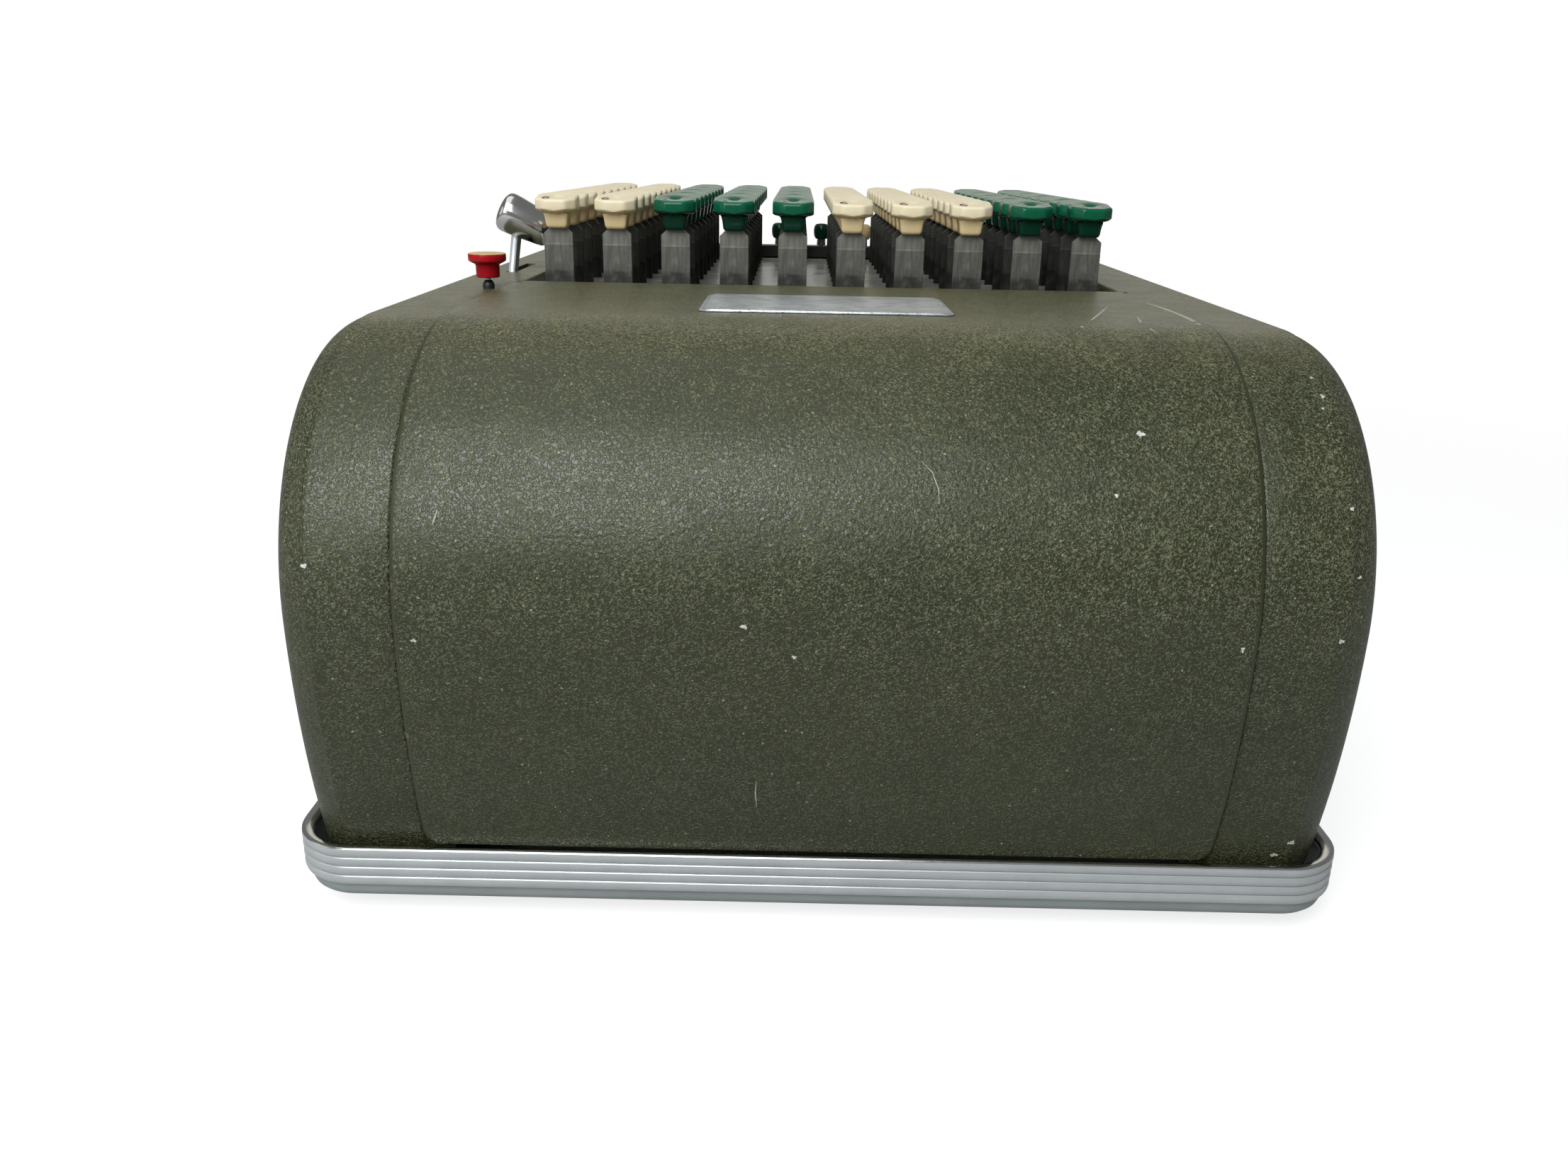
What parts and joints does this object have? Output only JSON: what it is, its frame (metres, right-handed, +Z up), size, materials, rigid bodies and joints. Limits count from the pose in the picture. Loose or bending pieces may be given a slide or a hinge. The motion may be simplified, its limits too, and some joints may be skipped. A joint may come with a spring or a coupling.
{
  "type": "key-driven calculator",
  "caption": "Desk-top key-driven calculator: rows of tall stem keys over a lever bank, crowned rear casing, ribbed base band, result windows in front and a lever at the right.",
  "frame": {"origin": "on the table, under the centre of the overall box, feet included", "axes": "+Z up, +Y to the rear of the machine, away from the operator, +X to the operator's right"},
  "size_m": [0.2628, 0.3552, 0.1695],
  "materials": {
    "casing": "wrinkle enamel, satin",
    "pan": "satin enamel",
    "band": "worn bright plating",
    "feet": "matte",
    "lens": "clear",
    "keyboard_plate": "satin",
    "mechanism": "oiled",
    "top_plate": "worn satin",
    "cream_keys": "worn semi-gloss",
    "green_keys": "worn semi-gloss",
    "wheels": "matte",
    "chrome": "bright plating",
    "red_key": "worn"
  },
  "bodies": {
    "casing": {"base_pan": "pan", "trim_band": "band", "rubber_feet": "feet", "rear_cover": "casing", "side_casing_right": "casing", "side_casing_left": "casing", "front_cover": "casing", "register_lens": "lens", "keyboard_plate": "keyboard_plate", "guide_plate": "mechanism", "frame_right": "mechanism", "frame_left": "mechanism", "lever_shaft": "mechanism", "wheel_shaft": "mechanism", "tie_rods": "mechanism", "top_plate": "top_plate"},
    "key_column_01": {"key_column_01": "cream_keys"},
    "key_column_02": {"key_column_02": "cream_keys"},
    "key_column_03": {"key_column_03": "green_keys"},
    "key_column_04": {"key_column_04": "green_keys"},
    "key_column_05": {"key_column_05": "green_keys"},
    "key_column_06": {"key_column_06": "cream_keys"},
    "key_column_07": {"key_column_07": "cream_keys"},
    "key_column_08": {"key_column_08": "cream_keys"},
    "key_column_09": {"key_column_09": "green_keys"},
    "key_column_10": {"key_column_10": "green_keys"},
    "column_lever_01": {"column_lever_01": "mechanism"},
    "column_lever_02": {"column_lever_02": "mechanism"},
    "column_lever_03": {"column_lever_03": "mechanism"},
    "column_lever_04": {"column_lever_04": "mechanism"},
    "column_lever_05": {"column_lever_05": "mechanism"},
    "column_lever_06": {"column_lever_06": "mechanism"},
    "column_lever_07": {"column_lever_07": "mechanism"},
    "column_lever_08": {"column_lever_08": "mechanism"},
    "column_lever_09": {"column_lever_09": "mechanism"},
    "column_lever_10": {"column_lever_10": "mechanism"},
    "numeral_wheel_01": {"numeral_wheel_01": "wheels"},
    "numeral_wheel_02": {"numeral_wheel_02": "wheels"},
    "numeral_wheel_03": {"numeral_wheel_03": "wheels"},
    "numeral_wheel_04": {"numeral_wheel_04": "wheels"},
    "numeral_wheel_05": {"numeral_wheel_05": "wheels"},
    "numeral_wheel_06": {"numeral_wheel_06": "wheels"},
    "numeral_wheel_07": {"numeral_wheel_07": "wheels"},
    "numeral_wheel_08": {"numeral_wheel_08": "wheels"},
    "numeral_wheel_09": {"numeral_wheel_09": "wheels"},
    "numeral_wheel_10": {"numeral_wheel_10": "wheels"},
    "numeral_wheel_11": {"numeral_wheel_11": "wheels"},
    "cut_off_knob_01": {"cut_off_knob_01": "cream_keys"},
    "cut_off_knob_02": {"cut_off_knob_02": "cream_keys"},
    "cut_off_knob_03": {"cut_off_knob_03": "green_keys"},
    "cut_off_knob_04": {"cut_off_knob_04": "green_keys"},
    "cut_off_knob_05": {"cut_off_knob_05": "green_keys"},
    "cut_off_knob_06": {"cut_off_knob_06": "cream_keys"},
    "cut_off_knob_07": {"cut_off_knob_07": "cream_keys"},
    "cut_off_knob_08": {"cut_off_knob_08": "cream_keys"},
    "cut_off_knob_09": {"cut_off_knob_09": "green_keys"},
    "cut_off_knob_10": {"cut_off_knob_10": "green_keys"},
    "cancel_lever": {"cancel_lever": "chrome"},
    "release_key": {"release_key": "red_key"}
  },
  "joints": [
    {"name": "key_column_01_press", "type": "slide", "parent": "casing", "child": "key_column_01", "axis": [0, 0, -1], "range_m": [0, 0.00758], "stiffness_N_per_m": 200, "springref_m": -0.012},
    {"name": "key_column_02_press", "type": "slide", "parent": "casing", "child": "key_column_02", "axis": [0, 0, -1], "range_m": [0, 0.00758], "stiffness_N_per_m": 200, "springref_m": -0.012},
    {"name": "key_column_03_press", "type": "slide", "parent": "casing", "child": "key_column_03", "axis": [0, 0, -1], "range_m": [0, 0.00758], "stiffness_N_per_m": 200, "springref_m": -0.012},
    {"name": "key_column_04_press", "type": "slide", "parent": "casing", "child": "key_column_04", "axis": [0, 0, -1], "range_m": [0, 0.00758], "stiffness_N_per_m": 200, "springref_m": -0.012},
    {"name": "key_column_05_press", "type": "slide", "parent": "casing", "child": "key_column_05", "axis": [0, 0, -1], "range_m": [0, 0.00758], "stiffness_N_per_m": 200, "springref_m": -0.012},
    {"name": "key_column_06_press", "type": "slide", "parent": "casing", "child": "key_column_06", "axis": [0, 0, -1], "range_m": [0, 0.00758], "stiffness_N_per_m": 200, "springref_m": -0.012},
    {"name": "key_column_07_press", "type": "slide", "parent": "casing", "child": "key_column_07", "axis": [0, 0, -1], "range_m": [0, 0.00758], "stiffness_N_per_m": 200, "springref_m": -0.012},
    {"name": "key_column_08_press", "type": "slide", "parent": "casing", "child": "key_column_08", "axis": [0, 0, -1], "range_m": [0, 0.00758], "stiffness_N_per_m": 200, "springref_m": -0.012},
    {"name": "key_column_09_press", "type": "slide", "parent": "casing", "child": "key_column_09", "axis": [0, 0, -1], "range_m": [0, 0.00758], "stiffness_N_per_m": 200, "springref_m": -0.012},
    {"name": "key_column_10_press", "type": "slide", "parent": "casing", "child": "key_column_10", "axis": [0, 0, -1], "range_m": [0, 0.00758], "stiffness_N_per_m": 200, "springref_m": -0.012},
    {"name": "column_lever_01_swing", "type": "hinge", "parent": "casing", "child": "column_lever_01", "pos_m": [0, 0.0992, 0.111], "axis": [1, 0, 0], "range_deg": [0, 5.6]},
    {"name": "column_lever_02_swing", "type": "hinge", "parent": "casing", "child": "column_lever_02", "pos_m": [0, 0.0992, 0.111], "axis": [1, 0, 0], "range_deg": [0, 5.6]},
    {"name": "column_lever_03_swing", "type": "hinge", "parent": "casing", "child": "column_lever_03", "pos_m": [0, 0.0992, 0.111], "axis": [1, 0, 0], "range_deg": [0, 5.6]},
    {"name": "column_lever_04_swing", "type": "hinge", "parent": "casing", "child": "column_lever_04", "pos_m": [0, 0.0992, 0.111], "axis": [1, 0, 0], "range_deg": [0, 5.6]},
    {"name": "column_lever_05_swing", "type": "hinge", "parent": "casing", "child": "column_lever_05", "pos_m": [0, 0.0992, 0.111], "axis": [1, 0, 0], "range_deg": [0, 5.6]},
    {"name": "column_lever_06_swing", "type": "hinge", "parent": "casing", "child": "column_lever_06", "pos_m": [0, 0.0992, 0.111], "axis": [1, 0, 0], "range_deg": [0, 5.6]},
    {"name": "column_lever_07_swing", "type": "hinge", "parent": "casing", "child": "column_lever_07", "pos_m": [0, 0.0992, 0.111], "axis": [1, 0, 0], "range_deg": [0, 5.6]},
    {"name": "column_lever_08_swing", "type": "hinge", "parent": "casing", "child": "column_lever_08", "pos_m": [0, 0.0992, 0.111], "axis": [1, 0, 0], "range_deg": [0, 5.6]},
    {"name": "column_lever_09_swing", "type": "hinge", "parent": "casing", "child": "column_lever_09", "pos_m": [0, 0.0992, 0.111], "axis": [1, 0, 0], "range_deg": [0, 5.6]},
    {"name": "column_lever_10_swing", "type": "hinge", "parent": "casing", "child": "column_lever_10", "pos_m": [0, 0.0992, 0.111], "axis": [1, 0, 0], "range_deg": [0, 5.6]},
    {"name": "numeral_wheel_01_turn", "type": "hinge", "parent": "casing", "child": "numeral_wheel_01", "pos_m": [0, -0.1552, 0.111], "axis": [1, 0, 0], "range_deg": [-328, 0]},
    {"name": "numeral_wheel_02_turn", "type": "hinge", "parent": "casing", "child": "numeral_wheel_02", "pos_m": [0, -0.1552, 0.111], "axis": [1, 0, 0], "range_deg": [-328, 0]},
    {"name": "numeral_wheel_03_turn", "type": "hinge", "parent": "casing", "child": "numeral_wheel_03", "pos_m": [0, -0.1552, 0.111], "axis": [1, 0, 0], "range_deg": [-328, 0]},
    {"name": "numeral_wheel_04_turn", "type": "hinge", "parent": "casing", "child": "numeral_wheel_04", "pos_m": [0, -0.1552, 0.111], "axis": [1, 0, 0], "range_deg": [-328, 0]},
    {"name": "numeral_wheel_05_turn", "type": "hinge", "parent": "casing", "child": "numeral_wheel_05", "pos_m": [0, -0.1552, 0.111], "axis": [1, 0, 0], "range_deg": [-328, 0]},
    {"name": "numeral_wheel_06_turn", "type": "hinge", "parent": "casing", "child": "numeral_wheel_06", "pos_m": [0, -0.1552, 0.111], "axis": [1, 0, 0], "range_deg": [-328, 0]},
    {"name": "numeral_wheel_07_turn", "type": "hinge", "parent": "casing", "child": "numeral_wheel_07", "pos_m": [0, -0.1552, 0.111], "axis": [1, 0, 0], "range_deg": [-328, 0]},
    {"name": "numeral_wheel_08_turn", "type": "hinge", "parent": "casing", "child": "numeral_wheel_08", "pos_m": [0, -0.1552, 0.111], "axis": [1, 0, 0], "range_deg": [-328, 0]},
    {"name": "numeral_wheel_09_turn", "type": "hinge", "parent": "casing", "child": "numeral_wheel_09", "pos_m": [0, -0.1552, 0.111], "axis": [1, 0, 0], "range_deg": [-328, 0]},
    {"name": "numeral_wheel_10_turn", "type": "hinge", "parent": "casing", "child": "numeral_wheel_10", "pos_m": [0, -0.1552, 0.111], "axis": [1, 0, 0], "range_deg": [-328, 0]},
    {"name": "numeral_wheel_11_turn", "type": "hinge", "parent": "casing", "child": "numeral_wheel_11", "pos_m": [0, -0.1552, 0.111], "axis": [1, 0, 0], "range_deg": [-328, 0]},
    {"name": "cut_off_knob_01_slide", "type": "slide", "parent": "casing", "child": "cut_off_knob_01", "axis": [0, -1, 0], "range_m": [0, 0.0035], "stiffness_N_per_m": 100, "springref_m": -0.003},
    {"name": "cut_off_knob_02_slide", "type": "slide", "parent": "casing", "child": "cut_off_knob_02", "axis": [0, -1, 0], "range_m": [0, 0.0035], "stiffness_N_per_m": 100, "springref_m": -0.003},
    {"name": "cut_off_knob_03_slide", "type": "slide", "parent": "casing", "child": "cut_off_knob_03", "axis": [0, -1, 0], "range_m": [0, 0.0035], "stiffness_N_per_m": 100, "springref_m": -0.003},
    {"name": "cut_off_knob_04_slide", "type": "slide", "parent": "casing", "child": "cut_off_knob_04", "axis": [0, -1, 0], "range_m": [0, 0.0035], "stiffness_N_per_m": 100, "springref_m": -0.003},
    {"name": "cut_off_knob_05_slide", "type": "slide", "parent": "casing", "child": "cut_off_knob_05", "axis": [0, -1, 0], "range_m": [0, 0.0035], "stiffness_N_per_m": 100, "springref_m": -0.003},
    {"name": "cut_off_knob_06_slide", "type": "slide", "parent": "casing", "child": "cut_off_knob_06", "axis": [0, -1, 0], "range_m": [0, 0.0035], "stiffness_N_per_m": 100, "springref_m": -0.003},
    {"name": "cut_off_knob_07_slide", "type": "slide", "parent": "casing", "child": "cut_off_knob_07", "axis": [0, -1, 0], "range_m": [0, 0.0035], "stiffness_N_per_m": 100, "springref_m": -0.003},
    {"name": "cut_off_knob_08_slide", "type": "slide", "parent": "casing", "child": "cut_off_knob_08", "axis": [0, -1, 0], "range_m": [0, 0.0035], "stiffness_N_per_m": 100, "springref_m": -0.003},
    {"name": "cut_off_knob_09_slide", "type": "slide", "parent": "casing", "child": "cut_off_knob_09", "axis": [0, -1, 0], "range_m": [0, 0.0035], "stiffness_N_per_m": 100, "springref_m": -0.003},
    {"name": "cut_off_knob_10_slide", "type": "slide", "parent": "casing", "child": "cut_off_knob_10", "axis": [0, -1, 0], "range_m": [0, 0.0035], "stiffness_N_per_m": 100, "springref_m": -0.003},
    {"name": "cancel_lever_pull", "type": "hinge", "parent": "casing", "child": "cancel_lever", "pos_m": [0.1075, -0.03925, 0.06], "axis": [1, 0, 0], "range_deg": [0, 18], "stiffness_Nm_per_rad": 0.4, "springref_deg": -14.32},
    {"name": "release_key_press", "type": "slide", "parent": "casing", "child": "release_key", "axis": [0, 0, -1], "range_m": [0, 0.003], "stiffness_N_per_m": 150, "springref_m": -0.004}
  ],
  "couplings": [
    {"joint": "column_lever_01_swing", "follows": "key_column_01_press", "rad_per_m": 12.516},
    {"joint": "column_lever_02_swing", "follows": "key_column_02_press", "rad_per_m": 12.516},
    {"joint": "column_lever_03_swing", "follows": "key_column_03_press", "rad_per_m": 12.516},
    {"joint": "column_lever_04_swing", "follows": "key_column_04_press", "rad_per_m": 12.516},
    {"joint": "column_lever_05_swing", "follows": "key_column_05_press", "rad_per_m": 12.516},
    {"joint": "column_lever_06_swing", "follows": "key_column_06_press", "rad_per_m": 12.516},
    {"joint": "column_lever_07_swing", "follows": "key_column_07_press", "rad_per_m": 12.516},
    {"joint": "column_lever_08_swing", "follows": "key_column_08_press", "rad_per_m": 12.516},
    {"joint": "column_lever_09_swing", "follows": "key_column_09_press", "rad_per_m": 12.516},
    {"joint": "column_lever_10_swing", "follows": "key_column_10_press", "rad_per_m": 12.516},
    {"joint": "numeral_wheel_01_turn", "follows": "key_column_01_press", "rad_per_m": -745.57},
    {"joint": "numeral_wheel_02_turn", "follows": "key_column_02_press", "rad_per_m": -745.57},
    {"joint": "numeral_wheel_03_turn", "follows": "key_column_03_press", "rad_per_m": -745.57},
    {"joint": "numeral_wheel_04_turn", "follows": "key_column_04_press", "rad_per_m": -745.57},
    {"joint": "numeral_wheel_05_turn", "follows": "key_column_05_press", "rad_per_m": -745.57},
    {"joint": "numeral_wheel_06_turn", "follows": "key_column_06_press", "rad_per_m": -745.57},
    {"joint": "numeral_wheel_07_turn", "follows": "key_column_07_press", "rad_per_m": -745.57},
    {"joint": "numeral_wheel_08_turn", "follows": "key_column_08_press", "rad_per_m": -745.57},
    {"joint": "numeral_wheel_09_turn", "follows": "key_column_09_press", "rad_per_m": -745.57},
    {"joint": "numeral_wheel_10_turn", "follows": "key_column_10_press", "rad_per_m": -745.57}
  ]
}
